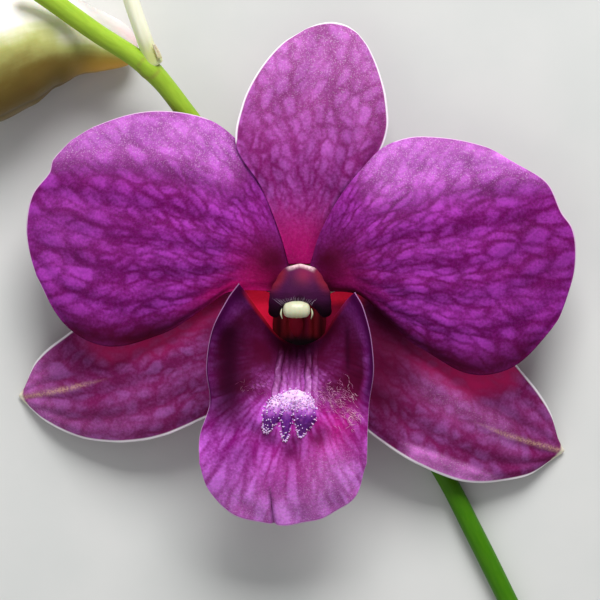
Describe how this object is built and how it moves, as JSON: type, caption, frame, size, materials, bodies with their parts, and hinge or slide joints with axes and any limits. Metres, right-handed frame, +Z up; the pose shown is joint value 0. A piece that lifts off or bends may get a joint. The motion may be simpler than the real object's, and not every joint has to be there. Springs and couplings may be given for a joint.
{
  "type": "dendrobium orchid",
  "caption": "Purple orchid bloom, face up, with a closed bud beside it on a cut length of their green flower stem, lying on a surface.",
  "frame": {"origin": "on the surface that the flower lies on, at the middle of its footprint", "axes": "+X to the bloom's right as seen from its front, +Y to its dorsal sepal, +Z up from the surface, the way the bloom faces"},
  "size_m": [0.0887, 0.092, 0.0205],
  "materials": {
    "stem_green": "smooth fresh green plant stem",
    "bract": "thin pale green scale",
    "pedicel_cream": "smooth pale yellow flower stalk",
    "bud_skin": "waxy closed sepals, cream to yellow-green with a brown underside",
    "pedicel_mauve": "smooth mauve flower stalk",
    "sepal_mauve": "soft satin sepal, net veined, pale rim",
    "petal_purple": "soft satin petal, net veined, fine sparkle, pale rim",
    "lip_magenta": "velvety lip with darker radiating veins",
    "column_maroon": "smooth waxy dark maroon",
    "cap_cream": "waxy pale cream"
  },
  "bodies": {
    "root": {"flower_stem": "stem_green", "bud_bract": "bract", "bloom_bract": "bract", "bud_pedicel": "pedicel_cream", "bud": "bud_skin", "bloom_pedicel_ovary": "pedicel_mauve", "dorsal_sepal": "sepal_mauve", "left_lateral_sepal": "sepal_mauve", "right_lateral_sepal": "sepal_mauve", "left_petal": "petal_purple", "right_petal": "petal_purple", "lip": "lip_magenta", "column": "column_maroon", "anther_cap": "cap_cream"}
  },
  "joints": []
}
